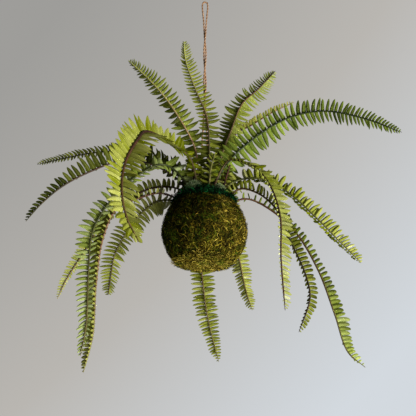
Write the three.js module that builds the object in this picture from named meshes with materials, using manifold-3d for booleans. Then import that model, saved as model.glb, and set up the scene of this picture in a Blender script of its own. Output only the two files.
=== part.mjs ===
// A hanging kokedama: a sword fern growing out of a moss ball that hangs on its own twine loop.
// Millimetres, +Z up. The origin is the inside top of the loop, where a hook bears. The front
// of the plant faces -Y, and its longest level frond reaches towards +X.
//
// The ball is a ground core in a wrap of moss, cut flat below and closed there by a disc of
// moss. Each frond is one leaf: a bare stalk pushed into the core, then a toothed blade. The
// twine comes out of a knot under the core, runs up through it, makes the loop and comes back.

import * as THREE from 'three';
import * as BufferGeometryUtils from 'three/addons/utils/BufferGeometryUtils.js';
import Module from 'manifold-3d';

const wasm = await Module();
wasm.setup();

// ---- Driving dimensions ----------------------------------------------------------------------

const clearance = 0.3;              // between pieces that touch

const ballCentreZ = -500;           // below the inside top of the loop
const ballRadius = 70;              // outside of the moss
const wrapThickness = 7.7;
const coreRadius = ballRadius - wrapThickness - clearance;
const coreTop = 50;                 // heights in this group are above the ball's centre
const coreBottom = -51.7;
const wrapTop = 49;
const roundSides = 36;              // facets round the ball
const arcSteps = 10;                // facets up the ball

const patchThickness = 3.5;
const patchRadius = 44.5;
const patchFlatRadius = 41;         // what the ball could stand on

const collarInner = 29;             // the ring of dyed moss round the stalks
const collarOuter = 52;
const collarHeight = 8.5;
const padHeight = 7;                // moss between the stalks, inside the ring

const twineDiameter = 3.2;
const twineSides = 8;
const twineSteps = 78;
const knotRadius = 4.8;             // of the path that the knotted twine follows
const knotPocketRadius = 9.8;
const knotPocketDepth = 10.5;

const stalkRadius = 1.5;            // at the core
const stalkTipRadius = 0.45;
const toothPitch = 14;              // between leaflets along a blade
const bareShare = 0.22;             // of a frond's length, before its first leaflet
const bareLeast = 46;

// ---- Twine route -----------------------------------------------------------------------------

// Half of the twine, from the knot up to the top of the loop. The other half is the same turned
// half a turn about Z. The two legs run apart out of the crown, meet, lie round each other for
// one and a half turns, and part again for the loop.
const twineHalf = [
  [-3.5, 0, -543], [-4, 0, -525], [-5, 0, -500], [-5.5, 0, -475], [-6, 0, -450],
  [-6, 0, -420], [-6, 0, -390], [-5.5, 0, -360], [-4.5, 0, -330], [-3, 0, -300],
  [-1.9, 0, -270], [-1, -1.7, -247], [1, -1.7, -224], [1.9, 0, -201], [1, 1.7, -178],
  [-1, 1.7, -155], [-1.9, 0, -132], [-1, -1.7, -109], [1, -1.7, -86], [1.9, 0, -63],
  [3, 0, -45], [4.3, 0, -28], [5.3, 0, -14], [5.1, 0, -5], [3.7, 0, -0.2],
];
const twineTop = [0, 0, 1.6];

// ---- Fronds ----------------------------------------------------------------------------------

// Each frond's points run along its midrib from the foot in the core to the tip, measured from
// the ball's centre. halfWidth is the longest leaflet, fold is how many degrees each half of the
// blade is raised, and face is the way that the upper side of the blade looks; where the blade
// twists, tipFace is the way that it looks at its tip.
const fronds = [
  {
    name: 'frond_upright_front', halfWidth: 18, fold: 12, face: [0, 1, 0.2],
    tipFace: [0.2, 1, 0.4],
    points: [
      [3, -11, 41], [6, -15, 90], [8, -22, 145], [3, -40, 200], [-16, -60, 242], [-33, -80, 290],
      [-36, -92, 320],
    ],
  },
  {
    name: 'frond_upright_left', halfWidth: 22, fold: 18, face: [-0.1, 1, 0],
    tipFace: [0.75, 0.45, 0.6],
    points: [
      [-12, 4, 41], [-11, -4, 95], [-16, -10, 150], [-36, -20, 192], [-70, -32, 244],
      [-100, -42, 277], [-138, -50, 313],
    ],
  },
  {
    name: 'frond_upright_right', halfWidth: 24, fold: 25, face: [-0.15, 1, 0],
    tipFace: [-0.2, 1, 0.1],
    points: [
      [12, 12, 41], [18, 8, 98], [33, 14, 162], [48, 20, 208], [71, 30, 275], [103, 40, 316],
      [141, 48, 367],
    ],
  },
  {
    name: 'frond_back_right_slender', halfWidth: 13, fold: 35, face: [0, 0.35, 0.94],
    points: [
      [6, 18, 41], [20, 26, 112], [56, 52, 218], [92, 72, 255], [138, 92, 299], [185, 110, 335],
    ],
  },
  {
    name: 'frond_right_long_arch', halfWidth: 22, fold: 20, face: [0, 0.92, 0.38],
    tipFace: [0.15, 0.5, 0.85],
    points: [
      [18, 5, 41], [25, 1, 101], [47, -8, 134], [89, -25, 167], [142, -50, 189], [195, -78, 184],
      [250, -106, 152], [299, -130, 110],
    ],
  },
  {
    name: 'frond_right_drooping', halfWidth: 19, fold: 24, face: [0.35, -0.83, 0.36],
    points: [
      [20, -5, 41], [34, -2, 78], [61, -3, 95], [98, -7, 94], [140, -13, 66], [184, -20, 14],
      [215, -26, -28], [243, -30, -64],
    ],
  },
  {
    name: 'frond_right_trailing_long', halfWidth: 14, fold: 35, face: [0.6, 0.1, 0.8],
    tipFace: [0.87, 0.5, 0],
    points: [
      [28, 3, 43], [47, 2, 55], [72, 0, 60], [106, -6, 40], [147, -14, -6], [177, -22, -73],
      [195, -28, -145], [208, -30, -199], [230, -32, -221],
    ],
  },
  {
    name: 'frond_right_trailing_inner', halfWidth: 13, fold: 32, face: [0.4, 0.1, 0.9],
    tipFace: [0.54, 0.84, 0],
    points: [
      [26, -12, 43], [42, -19, 57], [59, -30, 64], [84, -52, 46], [108, -78, 8], [124, -98, -52],
      [141, -108, -108], [144, -110, -141], [126, -110, -187],
    ],
  },
  {
    name: 'frond_front_right_arch', halfWidth: 20, fold: 35, face: [0.54, -0.6, 0.6],
    tipFace: [0.54, -0.84, 0],
    points: [
      [13, -20, 41], [20, -25, 82], [40, -40, 112], [72, -75, 84], [95, -110, 36], [106, -138, -30],
      [102, -152, -101], [103, -155, -169],
    ],
  },
  {
    name: 'frond_back_right_hanging', halfWidth: 16, fold: 25, face: [0.2, 0.97, 0.1],
    points: [
      [16, 20, 41], [25, 32, 100], [37, 54, 138], [44, 88, 110], [52, 105, 46], [63, 108, -11],
      [73, 108, -68], [83, 108, -104],
    ],
  },
  {
    name: 'frond_back_centre_hanging', halfWidth: 21, fold: 12, face: [0, 1, 0],
    points: [
      [-3, 24, 41], [0, 36, 100], [-3, 64, 138], [-9, 100, 90], [-7, 118, -8], [0, 120, -82],
      [8, 120, -127], [24, 118, -190],
    ],
  },
  {
    name: 'frond_left_trailing_outer', halfWidth: 18, fold: 35, face: [-0.5, -0.1, 0.85],
    tipFace: [-0.9, -0.42, 0],
    points: [
      [-28, -7, 43], [-48, -9, 57], [-75, -12, 65], [-107, -17, 54], [-143, -22, 32],
      [-161, -26, -22], [-165, -28, -99], [-163, -30, -175], [-172, -30, -228],
    ],
  },
  {
    name: 'frond_left_trailing_inner', halfWidth: 22, fold: 15, face: [-0.2, -0.9, 0.3],
    tipFace: [-0.2, -0.97, 0],
    points: [
      [-20, -16, 41], [-32, -20, 82], [-66, -34, 107], [-111, -58, 71], [-146, -76, 17],
      [-165, -84, -33], [-165, -88, -94], [-161, -88, -173], [-165, -88, -214],
    ],
  },
  {
    name: 'frond_left_drooping_pale', halfWidth: 15, fold: 32, face: [-0.4, 0.6, 0.6],
    tipFace: [-0.6, 0.75, 0.2],
    points: [
      [-18, 18, 41], [-42, 18, 86], [-96, 22, 90], [-148, 32, 60], [-181, 38, 26], [-207, 42, -24],
      [-230, 44, -67], [-242, 44, -101],
    ],
  },
  {
    name: 'frond_back_left_hanging', halfWidth: 18, fold: 22, face: [-0.5, 0.85, 0],
    points: [
      [-26, 10, 43], [-46, 17, 62], [-78, 30, 71], [-106, 49, 62], [-139, 70, 28], [-160, 84, -10],
      [-165, 88, -46], [-167, 88, -82],
    ],
  },
  {
    name: 'frond_front_left_large', halfWidth: 28, fold: 30, face: [0.45, -0.8, 0.4],
    points: [
      [-9, -22, 41], [-14, -28, 82], [-24, -40, 116], [-52, -85, 117], [-84, -160, 92],
      [-91, -192, 58], [-101, -212, 15], [-102, -225, -29], [-93, -230, -72], [-76, -228, -105],
    ],
  },
  {
    name: 'frond_left_level', halfWidth: 26, fold: 15, face: [0, 0.4, 0.92],
    points: [
      [-17, -3, 41], [-38, 6, 99], [-72, 16, 134], [-137, 32, 171], [-205, 46, 177],
      [-262, 56, 171], [-314, 62, 161],
    ],
  },
  {
    name: 'frond_left_arching', halfWidth: 27, fold: 35, face: [0, 0.3, 0.95],
    tipFace: [0, 0.45, 0.89],
    points: [
      [-24, 2, 41], [-40, -5, 88], [-85, -16, 115], [-134, -32, 117], [-183, -50, 87],
      [-223, -66, 51], [-251, -76, 14], [-267, -82, -16],
    ],
  },
  {
    name: 'frond_young_front_left', halfWidth: 15, fold: 15, face: [0, 1, 0.2],
    points: [
      [-12, -14, 42], [-17, -22, 75], [-21, -27, 105], [-26, -32, 130],
    ],
  },
  {
    name: 'frond_young_front_right', halfWidth: 15, fold: 15, face: [-0.2, 1, 0.2],
    points: [
      [7, -18, 42], [8, -28, 75], [11, -38, 100], [18, -47, 124],
    ],
  },
  {
    name: 'frond_young_right', halfWidth: 10, fold: 15, face: [0, 1, 0.2],
    points: [
      [25, -20, 43], [31, -24, 68], [37, -27, 90], [43, -30, 110],
    ],
  },
];

// ---- Materials -------------------------------------------------------------------------------

function matte(color, roughness) {
  return new THREE.MeshStandardMaterial({ color, roughness, metalness: 0 });
}

const looks = {
  soil: matte(0x3a2a1c, 1),
  moss: matte(0x6a5a1c, 0.95),
  mossPale: matte(0x8a7a34, 0.95),
  mossGreen: matte(0x0c4028, 0.95),
  mossGrey: matte(0x4a5a3a, 0.95),
  twine: matte(0x96693c, 0.9),
  leaf: matte(0x6f8226, 0.6),
};

// ---- Solids and how they are cut -------------------------------------------------------------

// A closed mesh with its shared corners merged, as a solid that can be cut.
function solidOf(geometry) {
  const bare = geometry.clone();
  bare.deleteAttribute('normal');
  bare.deleteAttribute('uv');
  const merged = BufferGeometryUtils.mergeVertices(bare, 1e-4);
  return new wasm.Manifold(new wasm.Mesh({
    numProp: 3,
    vertProperties: new Float32Array(merged.attributes.position.array),
    triVerts: new Uint32Array(merged.index.array),
  }));
}

function geometryOf(solid) {
  const mesh = solid.getMesh();
  const geometry = new THREE.BufferGeometry();
  geometry.setAttribute('position', new THREE.BufferAttribute(mesh.vertProperties, 3));
  geometry.setIndex(new THREE.BufferAttribute(mesh.triVerts, 1));
  return geometry;
}

function cutBy(geometry, cutters) {
  let solid = solidOf(geometry);
  for (const cutter of cutters) {
    solid = solid.subtract(cutter);
  }
  return geometryOf(solid);
}

// ---- Round pieces ----------------------------------------------------------------------------

// A profile of [radius, height] pairs turned about the ball's upright axis.
function turned(profile) {
  const points = profile.map(([radius, height]) => new THREE.Vector2(radius, height));
  const geometry = new THREE.LatheGeometry(points, roundSides);
  geometry.rotateX(Math.PI / 2);
  return geometry;
}

// Points of a ball's outline between two heights above its centre.
function ballArc(radius, fromHeight, toHeight) {
  const from = Math.asin(fromHeight / radius);
  const to = Math.asin(toHeight / radius);
  const arc = [];
  for (let i = 0; i <= arcSteps; i += 1) {
    const angle = from + ((to - from) * i) / arcSteps;
    arc.push([radius * Math.cos(angle), radius * Math.sin(angle)]);
  }
  return arc;
}

function coreGeometry() {
  const pocketTop = coreBottom + knotPocketDepth;
  return turned([
    [0, pocketTop],
    [knotPocketRadius, pocketTop],
    [knotPocketRadius, coreBottom],
    ...ballArc(coreRadius, coreBottom, coreTop),
    [0, coreTop],
  ]);
}

function wrapGeometry() {
  const inner = ballArc(ballRadius - wrapThickness, coreBottom, wrapTop).reverse();
  const outer = ballArc(ballRadius, coreBottom, wrapTop);
  return turned([...outer, ...inner, outer[0]]);
}

function patchGeometry() {
  const top = coreBottom - clearance;
  const bottom = top - patchThickness;
  return turned([
    [0, bottom],
    [patchFlatRadius, bottom],
    [patchRadius - 1, bottom + 1.2],
    [patchRadius, top - 1],
    [patchRadius - 0.6, top],
    [0, top],
  ]);
}

// The ring of moss that lies on the wrap's rim; grow swells it, to clear what rests on it.
function collarGeometry(grow) {
  const low = wrapTop + clearance - grow;
  const high = wrapTop + clearance + collarHeight + grow;
  const inner = collarInner - grow;
  const outer = collarOuter + grow;
  return turned([
    [inner, coreTop + clearance],
    [38.3 - grow, coreTop + clearance],
    [38.8 - grow, low],
    [outer - 2.5, low],
    [outer, low + 3],
    [outer - 0.5, low + 5],
    [outer - 5, high - 1.5],
    [outer - 11, high],
    [inner + 5, high - 0.8],
    [inner + 1, high - 3.5],
    [inner, coreTop + clearance],
  ]);
}

function padGeometry() {
  const low = coreTop + clearance;
  const outer = collarInner - clearance;
  return turned([
    [0, low],
    [outer, low],
    [outer, low + 4],
    [outer - 7, low + padHeight - 1.5],
    [outer - 18, low + padHeight],
    [0, low + padHeight],
  ]);
}

// A loose clump of moss lying on the collar.
function tuftGeometry([x, y, z], [width, depth, height]) {
  const geometry = new THREE.SphereGeometry(1, 16, 10);
  geometry.rotateX(Math.PI / 2);
  geometry.scale(width, depth, height);
  geometry.translate(x, y, z);
  return geometry;
}

// ---- Twine -----------------------------------------------------------------------------------

function twineCurve() {
  const up = twineHalf.map((p) => new THREE.Vector3(...p));
  const down = twineHalf.map(([x, y, z]) => new THREE.Vector3(-x, -y, z)).reverse();
  const top = new THREE.Vector3(...twineTop);
  const points = [...up, top, ...down];
  for (const point of points) {
    point.z -= ballCentreZ;
  }
  return new THREE.CatmullRomCurve3(points, false, 'centripetal');
}

function twineGeometry(radius) {
  const section = new THREE.Shape();
  for (let i = 0; i < twineSides; i += 1) {
    const angle = (i / twineSides) * 2 * Math.PI;
    const x = radius * Math.cos(angle);
    const y = radius * Math.sin(angle);
    if (i === 0) {
      section.moveTo(x, y);
    } else {
      section.lineTo(x, y);
    }
  }
  section.closePath();
  return new THREE.ExtrudeGeometry(section, {
    steps: twineSteps,
    bevelEnabled: false,
    extrudePath: twineCurve(),
  });
}

function knotGeometry() {
  const geometry = new THREE.TorusKnotGeometry(knotRadius, twineDiameter / 2, 60, twineSides);
  const height = twineHalf[0][2] - ballCentreZ - clearance - knotRadius / 2 - twineDiameter / 2;
  geometry.translate(0, 0, height);
  return geometry;
}

// ---- Fronds ----------------------------------------------------------------------------------

// Share of the longest leaflet that a blade's leaflets reach, t from its first to its tip.
function bladeOutline(t) {
  const swell = Math.min(1, 0.55 + 2.2 * t);
  const taper = Math.min(1, 1.5 * (1 - t) ** 0.55);
  return Math.max(0.1, swell * taper);
}

// The frame that a ring of the blade is drawn in: side runs along the leaflets.
function ringFrame(curve, t, face) {
  const centre = curve.getPointAt(t);
  const along = curve.getTangentAt(t);
  const side = along.clone().cross(face).normalize();
  const up = side.clone().cross(along).normalize();
  return { centre, along, side, up };
}

function bareLength(length) {
  return Math.max(bareShare * length, bareLeast);
}

// Rings of four corners along a frond, as {t, half, thick, lean}: half is the half width and
// lean moves the two side corners towards the tip.
function frondRings(frond, length) {
  const rings = [];
  const bladeStart = bareLength(length) / length;
  const stalkSteps = Math.round(bareLength(length) / 12);
  for (let i = 0; i <= stalkSteps; i += 1) {
    const t = (bladeStart * i) / stalkSteps;
    rings.push({ t, half: stalkRadius, thick: stalkRadius, lean: 0 });
  }
  const bladeLength = (1 - bladeStart) * length;
  const teeth = Math.max(6, Math.round(bladeLength / toothPitch));
  for (let i = 0; i < teeth; i += 1) {
    const along = (i + 0.5) / teeth;
    const next = (i + 1) / teeth;
    const thin = stalkRadius + (stalkTipRadius - stalkRadius) * along;
    const half = frond.halfWidth * bladeOutline(along);
    rings.push({
      t: bladeStart + (1 - bladeStart) * along, half, thick: thin, lean: half * 0.25,
    });
    if (i < teeth - 1) {
      rings.push({
        t: bladeStart + (1 - bladeStart) * next, half: Math.min(half, 2.2 * thin),
        thick: thin, lean: 0,
      });
    }
  }
  rings.push({ t: 1, half: stalkTipRadius, thick: stalkTipRadius, lean: 0 });
  return rings;
}

// The rings joined into a solid. share is how much of the frond's length the curve covers.
function ringedSolid(curve, frond, rings, share = 1) {
  const footFace = new THREE.Vector3(...frond.face);
  const tipFace = new THREE.Vector3(...(frond.tipFace ?? frond.face));
  const fold = THREE.MathUtils.degToRad(frond.fold);
  const positions = [];
  for (const { t, half, thick, lean } of rings) {
    const face = footFace.clone().lerp(tipFace, t * share);
    const { centre, along, side, up } = ringFrame(curve, t, face);
    const tilt = lean > 0 ? fold : 0;
    const reach = half * Math.cos(tilt);
    const raised = along.multiplyScalar(lean).addScaledVector(up, half * Math.sin(tilt));
    const corners = [
      centre.clone().addScaledVector(side, reach).add(raised),
      centre.clone().addScaledVector(up, thick),
      centre.clone().addScaledVector(side, -reach).add(raised),
      centre.clone().addScaledVector(up, -thick),
    ];
    for (const corner of corners) {
      positions.push(corner.x, corner.y, corner.z);
    }
  }
  const index = [0, 1, 2, 0, 2, 3];
  // Each side is split from the wider ring's side corner to the narrower ring's middle, so that
  // the upper and the lower side bend alike and the thin blade never crosses itself.
  for (let r = 0; r + 1 < rings.length; r += 1) {
    const narrows = rings[r].half > rings[r + 1].half;
    for (let k = 0; k < 4; k += 1) {
      const a = r * 4 + k;
      const b = r * 4 + ((k + 1) % 4);
      if ((k % 2 === 0) === narrows) {
        index.push(a, b + 4, b, a, a + 4, b + 4);
      } else {
        index.push(a, a + 4, b, a + 4, b + 4, b);
      }
    }
  }
  const last = (rings.length - 1) * 4;
  index.push(last, last + 2, last + 1, last, last + 3, last + 2);
  const geometry = new THREE.BufferGeometry();
  geometry.setAttribute('position', new THREE.Float32BufferAttribute(positions, 3));
  geometry.setIndex(index);
  return geometry;
}

function frondCurve(frond) {
  const points = frond.points.map((p) => new THREE.Vector3(...p));
  return new THREE.CatmullRomCurve3(points, false, 'centripetal');
}

function frondGeometry(frond) {
  const curve = frondCurve(frond);
  return ringedSolid(curve, frond, frondRings(frond, curve.getLength()));
}

// The room that a frond's stalk needs in the core and the moss: the bare stalk, a clearance
// wider, from a little below its foot.
function stalkRoom(frond) {
  const curve = frondCurve(frond);
  const length = curve.getLength();
  const bare = bareLength(length) / length;
  const foot = curve.getPointAt(0);
  const points = [foot.clone().addScaledVector(curve.getTangentAt(0), -2 * clearance)];
  const steps = Math.round(bareLength(length) / 3);
  for (let i = 1; i <= steps; i += 1) {
    points.push(curve.getPointAt((bare * i) / steps));
  }
  const room = new THREE.CatmullRomCurve3(points, false, 'centripetal');
  const radius = stalkRadius + 2.5 * clearance;
  const rings = [];
  const ringCount = Math.round(bareLength(length) / 7);
  for (let i = 0; i <= ringCount; i += 1) {
    rings.push({ t: i / ringCount, half: radius, thick: radius, lean: 0 });
  }
  return solidOf(ringedSolid(room, frond, rings, bare));
}

// ---- The plant -------------------------------------------------------------------------------

const plant = new THREE.Group();
plant.position.z = ballCentreZ;

function add(name, geometry, look) {
  const mesh = new THREE.Mesh(geometry, look);
  mesh.name = name;
  plant.add(mesh);
}

const stalkRooms = fronds.map(stalkRoom);
const twineRoom = solidOf(twineGeometry(twineDiameter / 2 + 1.3 * clearance));
const collarRoom = solidOf(collarGeometry(clearance));
const passages = [...stalkRooms, twineRoom];

add('soil_core', cutBy(coreGeometry(), passages), looks.soil);
add('moss_wrap', cutBy(wrapGeometry(), stalkRooms), looks.moss);
add('base_moss_patch', patchGeometry(), looks.mossPale);
add('crown_moss_collar', cutBy(collarGeometry(0), stalkRooms), looks.mossGreen);
add('crown_moss_pad', cutBy(padGeometry(), passages), looks.mossGrey);
const tuftLeft = tuftGeometry([-17, -37, 63], [13, 8, 12]);
const tuftRight = tuftGeometry([24, -33, 61], [9, 7, 10]);
add('moss_tuft_left', cutBy(tuftLeft, [collarRoom, ...stalkRooms]), looks.mossGrey);
add('moss_tuft_right', cutBy(tuftRight, [collarRoom, ...stalkRooms]), looks.mossGrey);
add('hanging_twine', twineGeometry(twineDiameter / 2), looks.twine);
add('twine_knot', knotGeometry(), looks.twine);
for (const frond of fronds) {
  add(frond.name, frondGeometry(frond), looks.leaf);
}

export default plant;
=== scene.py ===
"""The looks of a hanging kokedama: a sword fern in a moss ball on a loop of twine.

Metres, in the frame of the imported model: the origin is the inside top of the twine loop, +Z is
up and the front of the plant faces -Y. Points that part.mjs also holds are in millimetres here
too, and are scaled by MM: a frond's are from the ball's centre and the twine's from the origin.
"""

import math

import bpy
import numpy as np
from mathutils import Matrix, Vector, noise


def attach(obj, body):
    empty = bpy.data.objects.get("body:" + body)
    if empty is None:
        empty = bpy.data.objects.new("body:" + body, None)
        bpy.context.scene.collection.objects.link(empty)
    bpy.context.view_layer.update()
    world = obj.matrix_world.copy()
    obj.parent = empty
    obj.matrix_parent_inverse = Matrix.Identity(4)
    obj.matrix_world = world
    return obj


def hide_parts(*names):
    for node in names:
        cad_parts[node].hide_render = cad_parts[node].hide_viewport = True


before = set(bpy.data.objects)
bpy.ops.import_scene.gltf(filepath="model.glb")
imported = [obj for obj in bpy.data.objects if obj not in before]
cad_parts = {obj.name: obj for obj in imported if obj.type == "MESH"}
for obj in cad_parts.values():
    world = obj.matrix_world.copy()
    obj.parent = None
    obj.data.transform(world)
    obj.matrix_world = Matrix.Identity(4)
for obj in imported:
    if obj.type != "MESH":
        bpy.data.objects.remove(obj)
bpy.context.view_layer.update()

MM = 0.001
BODY = "root"
BALL_CENTRE = np.array([0.0, 0.0, -0.5])
BALL_RADIUS = 0.070
UP = np.array([0.0, 0.0, 1.0])

# ---- Camera ----

CAMERA_OFFSET = (0.0058, -0.8345, -0.3371)  # from the ball's centre: in front and below
CAMERA_PITCH = 24.5                         # degrees up from level
CAMERA_VIEW = 41.7                          # degrees across
CAMERA_SENSOR = 36.0                        # mm


def make_camera():
    data = bpy.data.cameras.new("camera")
    data.sensor_width = CAMERA_SENSOR
    data.lens = CAMERA_SENSOR / 2 / math.tan(math.radians(CAMERA_VIEW / 2))
    data.clip_start = 0.01
    camera = bpy.data.objects.new("camera", data)
    camera.location = Vector(BALL_CENTRE) + Vector(CAMERA_OFFSET)
    camera.rotation_euler = (math.radians(90 + CAMERA_PITCH), 0, 0)
    bpy.context.scene.collection.objects.link(camera)
    bpy.context.scene.camera = camera


make_camera()

# ---- Curves ----

SPAN_STEPS = 40             # from one of a curve's points to the next, before it is evened out


def smooth_curve(points, samples):
    """A centripetal Catmull-Rom curve through the points, evenly spaced: (samples, 3)."""
    p = np.asarray(points, float)
    p = np.vstack([2 * p[0] - p[1], p, 2 * p[-1] - p[-2]])
    dense = []
    t = np.linspace(0, 1, SPAN_STEPS, endpoint=False)[:, None]
    for i in range(1, len(p) - 2):
        p0, p1, p2, p3 = p[i - 1 : i + 3]
        d0, d1, d2 = (np.linalg.norm(b - a) ** 0.5 for a, b in ((p0, p1), (p1, p2), (p2, p3)))
        m1 = ((p1 - p0) / d0 - (p2 - p0) / (d0 + d1) + (p2 - p1) / d1) * d1
        m2 = ((p2 - p1) / d1 - (p3 - p1) / (d1 + d2) + (p3 - p2) / d2) * d1
        dense.append(
            p1 + m1 * t + (3 * (p2 - p1) - 2 * m1 - m2) * t**2 + (m1 + m2 - 2 * (p2 - p1)) * t**3
        )
    dense = np.vstack([*dense, p[-2:-1]])
    run = np.concatenate([[0], np.cumsum(np.linalg.norm(np.diff(dense, axis=0), axis=1))])
    even = np.linspace(0, run[-1], samples)
    return np.stack([np.interp(even, run, dense[:, k]) for k in range(3)], axis=1), run[-1]


def unit(v):
    return v / np.maximum(np.linalg.norm(v, axis=-1, keepdims=True), 1e-12)


def tangents(points):
    return unit(np.gradient(points, axis=0))


def carried_frames(points):
    """Two unit vectors across a curve at each of its points, turning as little as they can."""
    along = tangents(points)
    across = [unit(np.cross(along[0], (0.0, 1.0, 0.0)))]
    for direction in along[1:]:
        across.append(unit(across[-1] - direction * np.dot(across[-1], direction)))
    across = np.array(across)
    return across, np.cross(along, across)


def round_points(reach, turn, level=0.0):
    """Points at reach from the Z axis and at level, at the angles turn round it."""
    level = np.zeros_like(turn) + level
    return np.stack([reach * np.cos(turn), reach * np.sin(turn), level], axis=-1)


# ---- Meshes ----


def mesh_object(name, vertices, quads, attributes=None):
    """A mesh object from arrays; attributes holds one number per vertex for each name."""
    mesh = bpy.data.meshes.new(name)
    mesh.vertices.add(len(vertices))
    mesh.vertices.foreach_set("co", np.ascontiguousarray(vertices, dtype=np.float32).ravel())
    mesh.loops.add(quads.size)
    mesh.loops.foreach_set("vertex_index", np.ascontiguousarray(quads, dtype=np.int32).ravel())
    mesh.polygons.add(len(quads))
    sides = quads.shape[1]
    mesh.polygons.foreach_set("loop_start", np.arange(0, quads.size, sides, dtype=np.int32))
    mesh.polygons.foreach_set("loop_total", np.full(len(quads), sides, dtype=np.int32))
    mesh.update(calc_edges=True)
    mesh.polygons.foreach_set("use_smooth", np.full(len(quads), True))
    for label, values in (attributes or {}).items():
        layer = mesh.attributes.new(label, "FLOAT", "POINT")
        layer.data.foreach_set("value", np.ascontiguousarray(values, dtype=np.float32))
    mesh.validate()
    piece = bpy.data.objects.new(name, mesh)
    bpy.context.scene.collection.objects.link(piece)
    return piece


def grid_quads(rows, columns, closed=False):
    """Quads of one grid of rows x columns vertices; closed joins its last column to its first."""
    r = np.arange(rows - 1)[:, None]
    c = np.arange(columns if closed else columns - 1)[None, :]
    n = (c + 1) % columns
    a, b = r * columns + c, r * columns + n
    quads = np.stack([a, b, b + columns, a + columns], axis=-1)
    return quads.reshape(-1, 4)


def round_grid(first, last, rows, columns):
    """rows values from first to last, each with columns angles round the Z axis, and quads."""
    turns = np.linspace(0, 2 * np.pi, columns, endpoint=False)
    value, turn = np.meshgrid(np.linspace(first, last, rows), turns, indexing="ij")
    return value.ravel(), turn.ravel(), grid_quads(rows, columns, closed=True)


def repeated(quads, copies, stride):
    """The same quads for each of several copies, whose vertices lie stride apart."""
    shift = (np.arange(copies) * stride)[:, None, None]
    return (quads[None] + shift).reshape(-1, 4)


class Parts:
    """Gathers several pieces of mesh, with the same attributes, into one."""

    def __init__(self):
        self.vertices, self.quads, self.attributes, self.count = [], [], {}, 0

    def add(self, vertices, quads, **attributes):
        """An attribute is one number, or one for each vertex or for each equal share of them,
        such as each ribbon of many."""
        vertices = np.asarray(vertices, float).reshape(-1, 3)
        self.vertices.append(vertices)
        self.quads.append(quads + self.count)
        self.count += len(vertices)
        for label, values in attributes.items():
            values = np.asarray(values, float).ravel()
            values = np.repeat(values, len(vertices) // len(values))
            self.attributes.setdefault(label, []).append(values)

    def piece(self, name, materials, slot, *nodes):
        """All of it as one piece, with its materials, in place of the nodes; slot, its record slot,
        is not used.
        """
        attributes = {k: np.concatenate(v) for k, v in self.attributes.items()}
        piece = mesh_object(name, np.vstack(self.vertices), np.vstack(self.quads), attributes)
        for material in materials:
            piece.data.materials.append(material)
        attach(piece, BODY)
        if nodes:
            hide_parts(*nodes)
        return piece


# ---- Node materials ----


class Nodes:
    """Short calls for building the node tree of owner, a new material or world."""

    def __init__(self, owner):
        owner.use_nodes = True
        self.owner = owner
        self.tree = owner.node_tree
        self.tree.nodes.clear()

    def node(self, kind, inputs=None, **settings):
        node = self.tree.nodes.new(kind)
        for key, value in settings.items():
            setattr(node, key, value)
        for key, value in (inputs or {}).items():
            self.feed(node.inputs[key], value)
        return node

    def feed(self, socket, value):
        if isinstance(value, bpy.types.NodeSocket):
            self.tree.links.new(value, socket)
        else:
            socket.default_value = value

    def attribute(self, name):
        return self.node("ShaderNodeAttribute", attribute_name=name).outputs["Fac"]

    def math(self, operation, a, b=0.0):
        return self.node("ShaderNodeMath", {0: a, 1: b}, operation=operation).outputs[0]

    def noise(self, size, detail=3.0):
        """Noise with patches about size metres across, from 0 to 1."""
        place = self.node("ShaderNodeTexCoord").outputs["Object"]
        inputs = {"Vector": place, "Scale": 1.0 / size, "Detail": detail, "Roughness": 0.6}
        return self.node("ShaderNodeTexNoise", inputs).outputs["Fac"]

    def spread(self, value, low, high):
        """value from low to high becomes 0 to 1."""
        inputs = {"Value": value, "From Min": low, "From Max": high}
        return self.node("ShaderNodeMapRange", inputs).outputs["Result"]

    def ramp(self, value, stops):
        """A colour for each value; stops are (value, (r, g, b)) in sRGB, 0 to 255."""
        node = self.node("ShaderNodeValToRGB", {"Fac": value})
        elements = node.color_ramp.elements
        while len(elements) < len(stops):
            elements.new(0.5)
        for element, (position, colour) in zip(elements, stops):
            element.position = position
            element.color = linear(colour)
        return node.outputs["Color"]

    def mix(self, factor, a, b):
        """From colour a to colour b, each a socket or sRGB, 0 to 255."""
        a, b = (linear(c) if isinstance(c, tuple) else c for c in (a, b))
        node = self.node("ShaderNodeMix", data_type="RGBA")
        for socket, value in ((0, factor), (6, a), (7, b)):  # 6 and 7 are its colours
            self.feed(node.inputs[socket], value)
        return node.outputs[2]

    def bump(self, height, distance, strength=1.0):
        inputs = {"Height": height, "Distance": distance, "Strength": strength}
        return self.node("ShaderNodeBump", inputs).outputs["Normal"]

    def surface(self, colour, roughness, normal=None, sheen=0.0, specular=0.3, through=0.0):
        """The shader; through is the share of light that a thin leaf lets pass."""
        inputs = {"Base Color": colour, "Roughness": roughness, "Specular IOR Level": specular}
        if sheen:
            inputs["Sheen Weight"] = sheen
        if normal:
            inputs["Normal"] = normal
        shader = self.node("ShaderNodeBsdfPrincipled", inputs).outputs[0]
        if through:
            back = self.node("ShaderNodeBsdfTranslucent", {"Color": colour}).outputs[0]
            inputs = {0: through, 1: shader, 2: back}
            shader = self.node("ShaderNodeMixShader", inputs).outputs[0]
        self.node("ShaderNodeOutputMaterial", {"Surface": shader})
        return self.owner


def linear(colour):
    """An sRGB colour, 0 to 255, as linear light with alpha."""
    channels = [c / 255 for c in colour]
    light = [c / 12.92 if c <= 0.04045 else ((c + 0.055) / 1.055) ** 2.4 for c in channels]
    return (*light, 1.0)


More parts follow.
